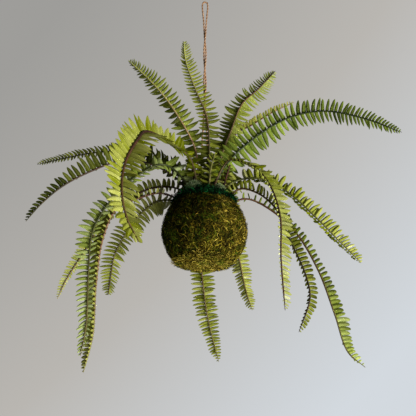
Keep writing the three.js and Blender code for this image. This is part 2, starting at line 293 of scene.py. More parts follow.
# Colours are sRGB, 0 to 255. A list is a ramp from dark to light and a pair its two ends.
LEAF_OLIVE = [
    (0.0, (16, 20, 0)), (0.25, (54, 61, 0)), (0.5, (106, 113, 6)), (0.75, (154, 157, 78)),
    (1.0, (206, 208, 162)),
]
LEAF_FRESH = ((16, 40, 0), (112, 158, 46))
LEAF_BROWN = ((40, 16, 10), (110, 84, 50))
LEAF_UNDER = ((60, 68, 14), (204, 208, 116))
LEAF_VEIN = ((74, 82, 16), (220, 222, 126))
LEAF_TIP = (84, 70, 20)
LEAF_BLOTCH = (50, 60, 8)
RIB_RED = [(0.0, (40, 20, 14)), (0.35, (84, 44, 34)), (0.7, (142, 108, 84)), (1.0, (212, 186, 142))]
RIB_GREEN = [
    (0.0, (24, 44, 18)), (0.35, (70, 84, 30)), (0.7, (128, 138, 52)), (1.0, (170, 176, 90)),
]
MOSS_GOLD = [
    (0.0, (8, 8, 1)), (0.25, (32, 29, 4)), (0.5, (70, 61, 10)), (0.72, (116, 98, 22)),
    (0.9, (160, 138, 42)), (1.0, (196, 174, 72)),
]
MOSS_PALE = [(0.0, (14, 11, 1)), (0.35, (62, 52, 8)), (0.65, (122, 104, 26)), (1.0, (186, 166, 72))]
MOSS_DARK = [(0.0, (0, 3, 1)), (0.4, (0, 20, 8)), (0.68, (2, 62, 27)), (1.0, (46, 150, 74))]
MOSS_CROWN = [(0.0, (10, 12, 4)), (0.4, (34, 34, 12)), (0.75, (70, 70, 28)), (1.0, (116, 112, 56))]
MOSS_GREY = [
    (0.0, (34, 46, 24)), (0.4, (104, 128, 82)), (0.75, (164, 184, 132)), (1.0, (214, 224, 186)),
]
MOSS_GREEN = ((4, 14, 2), (92, 132, 24))
MOSS_SHADE = (5, 5, 1)
TWINE_JUTE = [(0.3, (132, 96, 66)), (0.5, (166, 126, 90)), (0.72, (198, 162, 122))]
TWINE_FLECK = (138, 100, 68)
TWINE_GROOVE_SHADE = (96, 62, 38)
SOIL = [(0.3, (26, 18, 12)), (0.55, (62, 44, 28)), (0.8, (104, 78, 50))]
FLOOR_PALE = [(0.3, (200, 200, 198)), (0.7, (212, 212, 210))]


def twine_material(name="twine", two_strands=True):
    """Jute; depth is 0 in the groove between its two strands, whose colour there is painted shade."""
    n = Nodes(bpy.data.materials.new(name))
    strand = n.noise(0.003, 3)
    colour = n.ramp(strand, TWINE_JUTE)
    colour = n.mix(n.spread(n.noise(0.012, 2), 0.5, 0.8), colour, TWINE_FLECK)
    if two_strands:
        # painted shade in the groove between the two strands
        colour = n.mix(n.spread(n.attribute("depth"), 0.0, 0.5), TWINE_GROOVE_SHADE, colour)
    return n.surface(colour, 0.9, n.bump(strand, 0.0001), sheen=0.2, specular=0.1)


def leaf_material():
    """tone is how yellow and light a leaflet is, rib the place across it (1 is the edge to the
    tip), reach how far along it a place is and under is 1 on its lower side."""
    n = Nodes(bpy.data.materials.new("fern_leaf"))
    tone = n.math("ADD", n.attribute("tone"), n.math("MULTIPLY", n.noise(0.012, 3), 0.3))
    tone = n.math("SUBTRACT", tone, 0.15)
    colour = n.ramp(tone, LEAF_OLIVE)
    colour = n.mix(n.attribute("fresh"), colour, n.mix(tone, *LEAF_FRESH))
    colour = n.mix(n.attribute("brown"), colour, n.mix(tone, *LEAF_BROWN))
    under = n.math("MULTIPLY", n.attribute("under"), 0.18)
    colour = n.mix(under, colour, n.mix(tone, *LEAF_UNDER))
    rib = n.math("ABSOLUTE", n.attribute("rib"))
    near_rib = n.spread(rib, 0.22, 0.05)
    colour = n.mix(n.math("MULTIPLY", near_rib, 0.26), colour, n.mix(tone, *LEAF_VEIN))
    tip = n.spread(n.attribute("reach"), 0.86, 1.0)
    colour = n.mix(n.math("MULTIPLY", tip, 0.3), colour, LEAF_TIP)
    blotch = n.spread(n.noise(0.004, 4), 0.58, 0.75)
    colour = n.mix(n.math("MULTIPLY", blotch, 0.1), colour, LEAF_BLOTCH)
    slant = n.math("SUBTRACT", n.attribute("reach"), n.math("MULTIPLY", rib, 0.18))
    veins = n.math("SINE", n.math("MULTIPLY", slant, 70.0))
    return n.surface(colour, 0.62, n.bump(veins, 0.00003, 0.2), specular=0.03, through=0.12)


def rib_material():
    """The midrib: reach is how green it is and tone how light."""
    n = Nodes(bpy.data.materials.new("fern_rib"))
    patch = n.math("MULTIPLY", n.math("SUBTRACT", n.noise(0.006, 3), 0.5), 0.7)
    light = n.math("ADD", n.attribute("tone"), patch)
    colour = n.mix(n.attribute("reach"), n.ramp(light, RIB_RED), n.ramp(light, RIB_GREEN))
    return n.surface(colour, 0.55, n.bump(n.noise(0.0012, 3), 0.0002), specular=0.25)


def moss_material(name, stops):
    """Moss fibres: tone picks a fibre's colour, green is how green it is, and depth is 0 where
    it lies deepest and takes the most painted shade."""
    n = Nodes(bpy.data.materials.new(name))
    patch = n.math("ADD", n.noise(0.020, 2), n.math("MULTIPLY", n.noise(0.006, 2), 0.6))
    tone = n.math("ADD", n.attribute("tone"), n.math("MULTIPLY", patch, 0.7))
    colour = n.ramp(n.math("SUBTRACT", tone, 0.56), stops)
    colour = n.mix(n.attribute("green"), colour, n.mix(tone, *MOSS_GREEN))
    # painted shade: the lower depth is, the nearer the colour comes to MOSS_SHADE
    colour = n.mix(n.spread(n.attribute("depth"), 0.0, 1.0), MOSS_SHADE, colour)
    return n.surface(colour, 0.95, n.bump(n.noise(0.0012, 4), 0.0006), specular=0.05)


def soil_material():
    n = Nodes(bpy.data.materials.new("core_soil"))
    grain = n.noise(0.003, 5)
    return n.surface(n.ramp(grain, SOIL), 0.95, n.bump(grain, 0.001), specular=0.1)


def floor_material():
    n = Nodes(bpy.data.materials.new("floor"))
    return n.surface(n.ramp(n.noise(0.4, 4), FLOOR_PALE), 0.8)


# ---- Fibres ----


def turned(vectors, axes, angles):
    """Vectors turned about unit axes."""
    c, s = np.cos(angles)[:, None], np.sin(angles)[:, None]
    along = np.einsum("ij,ij->i", vectors, axes)[:, None]
    return vectors * c + np.cross(axes, vectors) * s + axes * along * (1 - c)


def drawn(span, count, rng):
    """count numbers between the two of a pair, or all the same where span is one number."""
    return rng.uniform(*span, count) if isinstance(span, tuple) else np.full(count, span)


def ribbons(start, heading, normal, length, width, rng, segments=4, wander=0.5, lift=0.0,
            normal_at=None, roll=0.6):
    """Thin bent ribbons, one for each start; length, width and lift are as for drawn. wander
    turns them within the surface, in radians a segment, lift bends them out of it and roll
    turns them about their length. normal_at gives the surface's normal at points. Returns
    vertices (copies, segments + 1, 2, 3) and quads."""
    copies = len(start)
    step = (drawn(length, copies, rng) / segments)[:, None]
    width = drawn(width, copies, rng)[:, None]
    lift = drawn(lift, copies, rng)
    point, heading, normal = start.copy(), unit(heading), unit(normal)
    curl = rng.normal(0, wander, copies)
    rows = []
    for k in range(segments + 1):
        side = unit(np.cross(heading, normal))
        side = turned(side, heading, rng.normal(0, roll, copies))
        share = 1 - (2 * k / segments - 1) ** 2 * 0.8  # narrow at both ends
        rows.append(np.stack([point - side * width / 2 * share, point + side * width / 2 * share], 1))
        point = point + heading * step
        if normal_at:
            normal = normal_at(point)
            slope = lift * (1 - 2 * (k + 1) / segments)
            flat = unit(heading - normal * np.einsum("ij,ij->i", heading, normal)[:, None])
            heading = unit(flat + normal * slope[:, None])
        heading = turned(heading, normal, curl + rng.normal(0, wander * 0.5, copies))
    vertices = np.stack(rows, axis=1)
    quads = repeated(grid_quads(segments + 1, 2), copies, (segments + 1) * 2)
    return vertices, quads


def random_headings(normals, rng, rise=0.0):
    """Unit vectors every way along the surface that each normal belongs to, and out of it by
    rise, which is as for drawn."""
    spun = rng.standard_normal(normals.shape)
    flat = unit(spun - normals * np.einsum("ij,ij->i", spun, normals)[:, None])
    return unit(flat + normals * drawn(rise, len(normals), rng)[:, None])


def lumps(points, size, seed):
    """Smooth noise at points, about -1 to 1, with lumps about size metres across."""
    offset = Vector((seed * 7.3, seed * 3.1, seed * 5.7))
    return np.array([noise.noise(Vector(p) / size + offset) for p in points])


# ---- Twine ----

TWINE = 0.0032              # across both strands
TWINE_LAY = 0.016           # one full turn of its strands
TWINE_SAMPLES = 1500
STRAND_OUT = 0.25           # a strand's centre from the twine's, as a share of TWINE
STRAND_RADIUS = 0.3         # as a share of TWINE
STRAND_SIDES = 8
WOBBLE_EVERY = 9            # samples
HAIRS = 350
# The left leg in mm, from the knot under the core up to the loop. The right leg mirrors it.
HALF_ROUTE = [
    (-3.5, 0, -543), (-4, 0, -525), (-5, 0, -500), (-5.5, 0, -475), (-6, 0, -450),
    (-6, 0, -420), (-6, 0, -390), (-5.5, 0, -360), (-4.5, 0, -330), (-3, 0, -300),
    (-1.9, 0, -270), (-1, -1.7, -247), (1, -1.7, -224), (1.9, 0, -201), (1, 1.7, -178),
    (-1, 1.7, -155), (-1.9, 0, -132), (-1, -1.7, -109), (1, -1.7, -86), (1.9, 0, -63),
    (3, 0, -45), (4.3, 0, -28), (5.3, 0, -14), (5.1, 0, -5), (3.7, 0, -0.2),
]
LOOP_TOP = (0, 0, 1.6)


def tube(path, radius, sides):
    """Vertices and quads of a tube; radius is one number or one for each point."""
    across, up = carried_frames(path)
    turn = np.linspace(0, 2 * np.pi, sides, endpoint=False)
    radius = np.broadcast_to(radius, (len(path),))[:, None, None]
    ring = np.cos(turn)[None, :, None] * across[:, None] + np.sin(turn)[None, :, None] * up[:, None]
    return (path[:, None] + ring * radius), grid_quads(len(path), sides, closed=True)


def outward(turn, across, up):
    """Unit vectors at the angles turn, in the planes of across and up."""
    return np.cos(turn)[:, None] * across + np.sin(turn)[:, None] * up


def add_strand(parts, path, run, start_turn, rng):
    turn = 2 * np.pi * run / TWINE_LAY + start_turn
    out = outward(turn, *carried_frames(path))
    centre = path + out * TWINE * STRAND_OUT
    knots = run[::WOBBLE_EVERY]
    wobble = 1 + 0.08 * np.interp(run, knots, rng.standard_normal(len(knots)))
    vertices, quads = tube(centre, TWINE * STRAND_RADIUS * wobble, STRAND_SIDES)
    # the side of each strand that faces the other takes painted shade in the groove
    away = np.einsum("ijk,ik->ij", unit(vertices - centre[:, None]), out)
    parts.add(vertices, quads, depth=(away + 1) / 2)


def add_twine_hairs(parts, path, rng):
    across, up = carried_frames(path)
    at = rng.integers(5, len(path) - 5, HAIRS)
    out = outward(rng.uniform(0, 2 * np.pi, HAIRS), across[at], up[at])
    along = tangents(path)[at] * rng.choice([-1, 1], HAIRS)[:, None]
    heading = unit(along + out * rng.uniform(0.3, 1.2, HAIRS)[:, None])
    vertices, quads = ribbons(path[at] + out * TWINE * 0.4, heading, out, (0.001, 0.0028),
                              0.00016, rng, segments=2)
    parts.add(vertices, quads, depth=0.9)


def make_twine():
    rng = np.random.default_rng(11)
    mirrored = [(-x, -y, z) for x, y, z in reversed(HALF_ROUTE)]
    route = np.array([*HALF_ROUTE, LOOP_TOP, *mirrored]) * MM
    path, length = smooth_curve(route, TWINE_SAMPLES)
    run = np.linspace(0, length, len(path))
    parts = Parts()
    for start_turn in (0, np.pi):
        add_strand(parts, path, run, start_turn, rng)
    add_twine_hairs(parts, path, rng)
    piece = parts.piece("twine", [twine_material()], "twine", "hanging_twine")


# ---- Fronds ----

STALK_RADIUS = 0.0015
REACH_AT = (0, 0.25, 0.5, 0.8, 1)
PITCH_EASE = 1.7            # leaflets crowd together only towards the tip
CURVE_SAMPLES = 200
STALK_SIDES = 8
BARE_SHARE = 0.11           # of a frond's length without leaflets
BARE_LEAST = 0.028
SCALES = 70
LEAF_ALONG = np.linspace(0, 1, 11)
LEAF_ACROSS = np.array([-1.0, -0.5, 0.0, 0.5, 1.0])
LEAF_THICKNESS = 0.0003
LEAF_RAGGED = 0.04          # how uneven its edges are, as a share of its width
LEAF_SICKLE = 15            # degrees that it curves to the tip
LEAF_RECURVE = 14           # degrees that it bends down
# How unlike one another the leaflets are: shares for length, width and hang, and degrees
# for the angles.
LEAF_VARIETY = dict(length=0.06, width=0.07, lean=4, sickle=7, rise=4, recurve=7, louver=6,
                    hang=0.5, tone=0.075)

# A frond is its centreline in mm from the ball's centre, foot first, and these:
#   reach      how long its leaflets are in mm, at each of REACH_AT
#   pitch      the space between them in mm, at the foot and the tip
#   width      half a leaflet's width, as a share of the pitch
#   face       the way that its upper side looks at the foot, and tip_face at the tip
#   fold       how many degrees its two rows of leaflets rise towards that side
#   lean       how far they point to the tip, in degrees, at the foot and the tip
#   skew       how many degrees more its right row leans, and its left row less, seen on face
#              with the tip up
#   louver     how many degrees a leaflet turns about its own length
#   trough     how far its edges rise, as a share of its width; below 0 they curl down
#   blunt      how round its end is
#   hang       how far it droops, as a share of its length
#   rows       the share of reach that the right and the left row have
#   fade       how much of that is left from the middle on
#   tone       how yellow and light the leaflets are; rise is how much more so the tip is;
#              row_lighting adds painted light and shade to the right and the left row, and
#              foot_lighting to the foot
#   fresh      how blue green they are, and brown how brown
#   stout      the midrib's radius in mm at its foot, middle and tip
#   stalk      how (green, light) the midrib is, at the same places
PLAIN_FROND = dict(
    lean=(0, 40), skew=0, louver=0, trough=0.5, blunt=0.2, hang=0.04, rows=(1, 1), fade=(1, 1),
    rise=0.12, row_lighting=(0, 0), foot_lighting=0, fresh=0, brown=0, stout=(1.7, 1.5, 1.0),
)
FRONDS = [
    dict(
        name="frond_upright_front", reach=(14, 20, 20, 17, 8), fold=12, pitch=(8.6, 3.6),
        width=0.46, tone=0.34, face=(0, 1, 0.2), tip_face=(0.2, 1, 0.4), lean=(0, 45), skew=10,
        blunt=0.3, rows=(0.82, 1.1), rise=0.4, foot_lighting=0.12,
        stalk=((1.0, 0.05), (0.3, 0.2), (0.95, 0.9)),
        points=[(3, -11, 41), (6, -15, 90), (8, -22, 145), (3, -40, 200), (-16, -60, 242),
                (-33, -80, 290), (-36, -92, 320)],
    ),
    dict(
        name="frond_upright_left", reach=(15, 24, 24, 21, 8), fold=18, pitch=(11.8, 3.4),
        width=0.54, tone=0.44, fresh=0.2, face=(-0.1, 1, 0), tip_face=(0.75, 0.45, 0.6),
        lean=(5, 30), skew=14, foot_lighting=0.12,
        stalk=((0.1, 0.6), (0.2, 0.7), (0.9, 0.8)),
        points=[(-12, 4, 41), (-11, -4, 95), (-16, -10, 150), (-36, -20, 192), (-70, -32, 244),
                (-100, -42, 277), (-138, -50, 313)],
    ),
    dict(
        name="frond_upright_right", reach=(16, 27, 28, 25, 10), fold=25, pitch=(10.8, 3.6),
        width=0.6, tone=0.46, fresh=0.2, face=(-0.15, 1, 0), tip_face=(-0.2, 1, 0.1),
        lean=(6, 38), row_lighting=(-0.08, 0.1),
        stalk=((0.3, 1.0), (0.2, 0.7), (0.1, 0.0)),
        points=[(12, 12, 41), (18, 8, 98), (33, 14, 162), (48, 20, 208), (71, 30, 275),
                (103, 40, 316), (141, 48, 367)],
    ),
    dict(
        name="frond_back_right_slender", reach=(15, 16, 14, 10, 6), fold=45, pitch=(10, 7),
        width=0.42, tone=0.46, brown=0.4, face=(0, 0.35, 0.94), lean=(0, 25), louver=-30,
        blunt=0.9, stalk=((0.0, 0.1), (0.0, 0.1), (0.3, 0.6)),
        points=[(6, 18, 41), (20, 26, 112), (56, 52, 218), (92, 72, 255), (138, 92, 299),
                (185, 110, 335)],
    ),
    dict(
        name="frond_right_long_arch", reach=(27, 28, 24, 16, 6), fold=20, pitch=(10.4, 4.4),
        width=0.46, tone=0.38, fresh=0.55, face=(0, 0.92, 0.38), tip_face=(0.15, 0.5, 0.85),
        lean=(0, 35), blunt=0.5, rows=(1, 1.1), stalk=((0.9, 0.1), (0.9, 0.1), (0.9, 0.2)),
        points=[(18, 5, 41), (25, 1, 101), (47, -8, 134), (89, -25, 167), (142, -50, 189),
                (195, -78, 184), (250, -106, 152), (299, -130, 110)],
    ),
    dict(
        name="frond_right_drooping", reach=(23, 26, 26, 23, 12), fold=24, pitch=(8.8, 4.2),
        width=0.56, tone=0.56, face=(0.35, -0.83, 0.36), lean=(-20, 12), trough=-0.85, blunt=1.0,
        rows=(0.55, 1.0), row_lighting=(-0.28, 0.04), rise=0.2, foot_lighting=0.1,
        stalk=((0.8, 0.4), (0.8, 0.35), (0.7, 0.6)),
        points=[(20, -5, 41), (34, -2, 78), (61, -3, 95), (98, -7, 94), (140, -13, 66),
                (184, -20, 14), (215, -26, -28), (243, -30, -64)],
    ),
    dict(
        name="frond_right_trailing_long", reach=(11, 11, 11, 17, 5), fold=48, pitch=(9.2, 5.4),
        width=0.62, tone=0.56, fresh=0.4, face=(0.6, 0.1, 0.8), tip_face=(0.87, 0.5, 0),
        lean=(-5, 30), blunt=0.7, rise=0.35, stalk=((0.1, 0.4), (0.3, 0.3), (0.7, 0.4)),
        points=[(28, 3, 43), (47, 2, 55), (72, 0, 60), (106, -6, 40), (147, -14, -6),
                (177, -22, -73), (195, -28, -145), (208, -30, -199), (230, -32, -221)],
    ),
    dict(
        name="frond_right_trailing_inner", reach=(15, 15, 14, 11, 6), fold=32, pitch=(8.6, 4.4),
        width=0.52, tone=0.48, face=(0.4, 0.1, 0.9), tip_face=(0.54, 0.84, 0), lean=(0, 35),
        blunt=1.0, rows=(1.0, 0.6), stalk=((0.15, 0.6), (0.6, 0.15), (0.2, 0.0)),
        points=[(26, -12, 43), (42, -19, 57), (59, -30, 64), (84, -52, 46), (108, -78, 8),
                (124, -98, -52), (141, -108, -108), (144, -110, -141), (126, -110, -187)],
    ),
    dict(
        name="frond_front_right_arch", reach=(15, 24, 20, 14, 8), fold=37, pitch=(10, 4.8),
        width=0.56, tone=0.7, fresh=0.06, face=(0.54, -0.6, 0.6), tip_face=(0.54, -0.84, 0),
        lean=(8, 25), trough=-0.8, blunt=0.9, rows=(0.4, 1.0), hang=0.22, rise=0.3,
        foot_lighting=-0.35, stalk=((0.5, 0.4), (0.2, 0.1), (0.1, 0.15)),
        points=[(13, -20, 41), (20, -25, 82), (40, -40, 112), (72, -75, 84), (95, -110, 36),
                (106, -138, -30), (102, -152, -101), (103, -155, -169)],
    ),
    dict(
        name="frond_back_right_hanging", reach=(20, 20, 19, 17, 8), fold=25, pitch=(8.8, 4.2),
        width=0.6, tone=0.6, face=(0.2, 0.97, 0.1), lean=(-5, 20), blunt=0.5,
        stalk=((0.1, 0.75), (0.1, 0.6), (0.5, 0.4)),
        points=[(16, 20, 41), (25, 32, 100), (37, 54, 138), (44, 88, 110), (52, 105, 46),
                (63, 108, -11), (73, 108, -68), (83, 108, -104)],
    ),
    dict(
        name="frond_back_centre_hanging", reach=(22, 22, 23.5, 20, 7), fold=12, pitch=(10.4, 4.4),
        width=0.54, tone=0.42, face=(0, 1, 0), lean=(-14, 8), blunt=0.4,
        stalk=((0.3, 0.25), (0.2, 0.35), (0.6, 0.5)),
        points=[(-3, 24, 41), (0, 36, 100), (-3, 64, 138), (-9, 100, 90), (-7, 118, -8),
                (0, 120, -82), (8, 120, -127), (24, 118, -190)],
    ),
    dict(
        name="frond_left_trailing_outer", reach=(20, 20, 17.5, 15, 6), fold=48, pitch=(10.4, 4.6),
        width=0.6, tone=0.62, brown=0.15, face=(-0.5, -0.1, 0.85), tip_face=(-0.9, -0.42, 0),
        lean=(-8, 20), louver=-25, trough=-0.45, blunt=0.8, rows=(1.3, 0.6), foot_lighting=0.4,
        stalk=((0.1, 0.2), (0.05, 0.6), (0.5, 0.5)),
        points=[(-28, -7, 43), (-48, -9, 57), (-75, -12, 65), (-107, -17, 54), (-143, -22, 32),
                (-161, -26, -22), (-165, -28, -99), (-163, -30, -175), (-172, -30, -228)],
    ),
    dict(
        name="frond_left_trailing_inner", reach=(27, 28, 26, 17, 9), fold=15, pitch=(11.4, 4.8),
        width=0.46, tone=0.76, fresh=0.4, face=(-0.2, -0.9, 0.3), tip_face=(-0.2, -0.97, 0),
        lean=(-30, 50), trough=-0.5, blunt=0.4, rows=(1, 0.5), foot_lighting=0.1,
        stalk=((0.8, 0.1), (0.8, 0.2), (0.5, 0.4)),
        points=[(-20, -16, 41), (-32, -20, 82), (-66, -34, 107), (-111, -58, 71), (-146, -76, 17),
                (-165, -84, -33), (-165, -88, -94), (-161, -88, -173), (-165, -88, -214)],
    ),
    dict(
        name="frond_left_drooping_pale", reach=(16, 17, 16, 13, 5), fold=32, pitch=(7.8, 4.2),
        width=0.5, tone=0.64, face=(-0.4, 0.6, 0.6), tip_face=(-0.6, 0.75, 0.2), lean=(5, 25),
        blunt=0.6, rows=(0.7, 1), foot_lighting=0.1, stalk=((0.2, 0.3), (0.2, 0.15), (0.4, 0.6)),
        points=[(-18, 18, 41), (-42, 18, 86), (-96, 22, 90), (-148, 32, 60), (-181, 38, 26),
                (-207, 42, -24), (-230, 44, -67), (-242, 44, -101)],
    ),
    dict(
        name="frond_back_left_hanging", reach=(22, 25, 24, 21, 9), fold=22, pitch=(8.8, 4.2),
        # rise below 0 and foot_lighting paint light on its shaded foot
        width=0.5, tone=0.55, face=(-0.5, 0.85, 0), lean=(0, 25), blunt=0.3, rise=-0.4,
        foot_lighting=0.45, stalk=((0.5, 0.1), (0.7, 0.7), (0.3, 0.15)),
        points=[(-26, 10, 43), (-46, 17, 62), (-78, 30, 71), (-106, 49, 62), (-139, 70, 28),
                (-160, 84, -10), (-165, 88, -46), (-167, 88, -82)],
    ),
    dict(
        name="frond_front_left_large", reach=(20, 30, 31, 28, 16), fold=30, pitch=(10, 6.4),
        width=0.7, tone=0.62, face=(0.45, -0.8, 0.4), lean=(-12, 60), skew=-16, trough=-0.45,
        blunt=0.45, row_lighting=(-0.02, 0.0), rise=0.1, foot_lighting=-0.3, stout=(1.8, 2.3, 1.0),
        stalk=((0.6, 0.4), (0.0, 0.05), (0.4, 0.4)),
        points=[(-9, -22, 41), (-14, -28, 82), (-24, -40, 116), (-52, -85, 117), (-84, -160, 92),
                (-91, -192, 58), (-101, -212, 15), (-102, -225, -29), (-93, -230, -72),
                (-76, -228, -105)],
    ),
    dict(
        name="frond_left_level", reach=(20, 27, 16.5, 12.5, 7), fold=15, pitch=(10.4, 4.4),
        width=0.5, tone=0.32, face=(0, 0.4, 0.92), lean=(15, 45), rows=(0.8, 1),
        rise=-0.1, stalk=((0.6, 0.1), (0.6, 0.1), (0.6, 0.1)),
        points=[(-17, -3, 41), (-38, 6, 99), (-72, 16, 134), (-137, 32, 171), (-205, 46, 177),
                (-262, 56, 171), (-314, 62, 161)],
    ),
    dict(
        name="frond_left_arching", reach=(27, 34, 33, 13, 6), fold=38, pitch=(12, 5), width=0.48,
        tone=0.1, face=(0, 0.3, 0.95), tip_face=(0, 0.45, 0.89), lean=(5, 50), blunt=0.4,
        rows=(0.95, 1), fade=(0.25, 1), rise=-0.16, foot_lighting=0.15,
        stalk=((0.6, 0.1), (0.1, 0.12), (0.6, 0.1)),
        points=[(-24, 2, 41), (-40, -5, 88), (-85, -16, 115), (-134, -32, 117), (-183, -50, 87),
                (-223, -66, 51), (-251, -76, 14), (-267, -82, -16)],
    ),
    dict(
        name="frond_young_front_left", reach=(14, 17, 15, 11, 3), fold=15, pitch=(8, 5),
        width=0.3, tone=0.3, face=(0, 1, 0.2), lean=(15, 50), blunt=0.1,
        stalk=((0.0, 0.1), (0.0, 0.2), (0.5, 0.4)),
        points=[(-12, -14, 42), (-17, -22, 75), (-21, -27, 105), (-26, -32, 130)],
    ),
    dict(
        name="frond_young_front_right", reach=(15, 17, 16, 11, 3), fold=15, pitch=(8.5, 5.5),
        width=0.32, tone=0.4, face=(-0.2, 1, 0.2), lean=(20, 50), blunt=0.1,
        stalk=((0.3, 0.5), (0.6, 0.5), (0.8, 0.6)),
        points=[(7, -18, 42), (8, -28, 75), (11, -38, 100), (18, -47, 124)],
    ),
    dict(
        name="frond_young_right", reach=(9, 11, 10, 7, 2), fold=15, pitch=(6.5, 5.0), width=0.3,
        tone=0.1, brown=0.8, face=(0, 1, 0.2), stalk=((0.0, 0.1), (0.0, 0.1), (0.0, 0.2)),
        points=[(25, -20, 43), (31, -24, 68), (37, -27, 90), (43, -30, 110)],
    ),
]


def leaflet_outline(u, blunt):
    """A leaflet's half width at u of its length, as a share of the widest."""
    end = np.maximum(0, 1 - u ** (1.3 + 3.4 * blunt)) ** (0.8 - 0.25 * blunt)
    return np.minimum(1, 0.75 + 2.4 * u) * end


def leaflet_places(start, length, pitch):
    """How far along a frond each leaflet of one row is."""
    places = []
    s = start
    while s < length - 0.002:
        places.append(s)
        s += np.interp(((s - start) / (length - start)) ** PITCH_EASE, (0, 1), pitch)
    return np.array(places)


def at_run(values, run, s):
    """Rows of values, given along run, at each s."""
    return np.stack([np.interp(s, run, values[:, k]) for k in range(3)], axis=1)


def leaflet_sizes(row, t, frond, vary):
    """Each leaflet's length and half width, at t of the way to the tip."""
    share = np.interp(t, (0, 0.5), (1, frond["fade"][row])) * frond["rows"][row]
    length = np.interp(t, REACH_AT, frond["reach"]) * MM * share
    length = length * np.minimum(1, 0.35 + 14 * (1 - t)) * (1 + vary["length"])
    pitch = np.interp(t**PITCH_EASE, (0, 1), np.array(frond["pitch"]) * MM)
    width = pitch * (1 - 0.2 * t) * frond["width"]
    plump = np.interp(t, (0, 0.3), (0.17, 0.27))  # how wide one can be, as a share of its length
    return length, np.minimum(width, plump * length) * (1 + vary["width"])


def leaflet_tones(row, t, frond, vary):
    tone = frond["tone"] + vary["tone"] + frond["rise"] * (t - 0.5)
    # row_lighting and foot_lighting are painted light and shade on a row and on the foot
    return tone + frond["row_lighting"][row] + frond["foot_lighting"] * np.exp(-t / 0.12)


def leaflet_spines(hand, s, t, length, frond, curve, vary):
    """Each leaflet's centreline, and the unit vectors across it and out of its upper side."""
    path, along, side, up, run = curve
    unrest = 1 + 2 * np.exp(-t / 0.15)  # the leaflets next to the crown lie less evenly
    lean = np.interp(t**3, (0, 1), frond["lean"]) + frond["skew"] * hand
    lean = np.radians(lean + unrest * vary["lean"])
    sickle = np.radians(LEAF_SICKLE + vary["sickle"])
    rise = np.radians(frond["fold"] + unrest * vary["rise"])
    recurve = np.radians(LEAF_RECURVE + unrest * vary["recurve"])
    louver = np.radians(frond["louver"] + unrest * vary["louver"])
    a, n = unit(at_run(along, run, s)), unit(at_run(up, run, s))
    out = unit(at_run(side, run, s)) * hand
    on_top = math.copysign(0.5, frond["trough"])  # where on the midrib they start
    base = at_run(path, run, s) + (n * on_top + out * 0.3) * STALK_RADIUS
    u = LEAF_ALONG
    turn = (lean[:, None] + sickle[:, None] * (u - 0.4))[..., None]
    tilt = (rise[:, None] - recurve[:, None] * u)[..., None]
    out, a, n = out[:, None], a[:, None], n[:, None]
    heading = np.cos(tilt) * (np.cos(turn) * out + np.sin(turn) * a) + np.sin(tilt) * n
    step = (length / (len(u) - 1))[:, None, None]
    centre = np.cumsum(heading * step, axis=1) - heading[:, :1] * step + base[:, None]
    hang = frond["hang"] * (1 + vary["hang"]) * length
    centre = centre - UP * (hang[:, None] * u**2)[..., None]
    across = -np.sin(turn) * out + np.cos(turn) * a
    over = np.cross(heading, across) * hand
    c, q = np.cos(louver)[:, None, None], np.sin(louver)[:, None, None]
    return centre, across * c + over * q, over * c - across * q


def add_leaflets(parts, hand, s, t, frond, curve, rng, looks):
    """Adds the upper and lower sheets of the leaflets at s along the curve, t of the way to
    the tip, on its right where hand is 1 and on its left where it is -1."""
    row = 0 if hand > 0 else 1
    count = len(s)
    draws = rng.standard_normal((len(LEAF_VARIETY), count))
    vary = {key: LEAF_VARIETY[key] * draw for key, draw in zip(LEAF_VARIETY, draws)}
    length, width = leaflet_sizes(row, t, frond, vary)
    centre, across, over = leaflet_spines(hand, s, t, length, frond, curve, vary)
    tone = leaflet_tones(row, t, frond, vary)
    u, v = LEAF_ALONG, LEAF_ACROSS
    shape = (count, len(u), len(v))
    ragged = 1 + LEAF_RAGGED * rng.standard_normal(shape)
    half = width[:, None, None] * leaflet_outline(u, frond["blunt"])[None, :, None] * ragged
    ear = 0.25 * np.exp(-((u - 0.1) / 0.07) ** 2)[None, :, None] * np.maximum(v, 0)
    middle = centre[:, :, None] + across[:, :, None] * (half * (v + ear))[..., None]
    middle = middle + over[:, :, None] * (half * np.abs(v) * frond["trough"])[..., None]
    quads = repeated(grid_quads(len(u), len(v)), count, len(u) * len(v))
    for face in (1, -1):
        thick = LEAF_THICKNESS / 2 * (1 - v**2) * face
        parts.add(
            middle + over[:, :, None] * thick[:, None],
            quads[:, ::-1] if hand * face > 0 else quads,
            tone=tone, under=0.0 if face > 0 else 1.0, rib=np.broadcast_to(v, shape),
            reach=np.broadcast_to(u[None, :, None], shape), **looks,
        )


def add_midrib(parts, frond, curve, looks):
    path, run = curve[0], curve[-1]
    reach = run / run[-1]
    radius = np.interp(reach, (0, 0.5, 1), frond["stout"]) * MM
    radius = radius * np.minimum(1, 0.4 + 10 * (1 - reach))
    vertices, quads = tube(path, radius, STALK_SIDES)
    green, light = (np.interp(reach, (0, 0.5, 1), keys) for keys in zip(*frond["stalk"]))
    parts.add(vertices, quads, tone=light, rib=0.0, reach=green, under=0.0, **looks)


def add_scales(parts, curve, start, rng, looks):
    """Thin brown scales that stand off the foot of a stalk."""
    path, along, side, up, run = curve
    s = start * rng.uniform(0.1, 1.0, SCALES) ** 0.8
    turn = rng.uniform(0, 2 * np.pi, SCALES)
    out = outward(turn, at_run(side, run, s), at_run(up, run, s))
    foot = at_run(path, run, s) + out * STALK_RADIUS * 0.9
    heading = unit(at_run(along, run, s) + out * rng.uniform(0.2, 0.9, SCALES)[:, None])
    vertices, quads = ribbons(foot, heading, out, (0.002, 0.0045), 0.0007, rng, segments=3,
                              wander=0.25)
    parts.add(vertices, quads, tone=0.2, rib=0.0, reach=0.0, under=0.0, **looks)


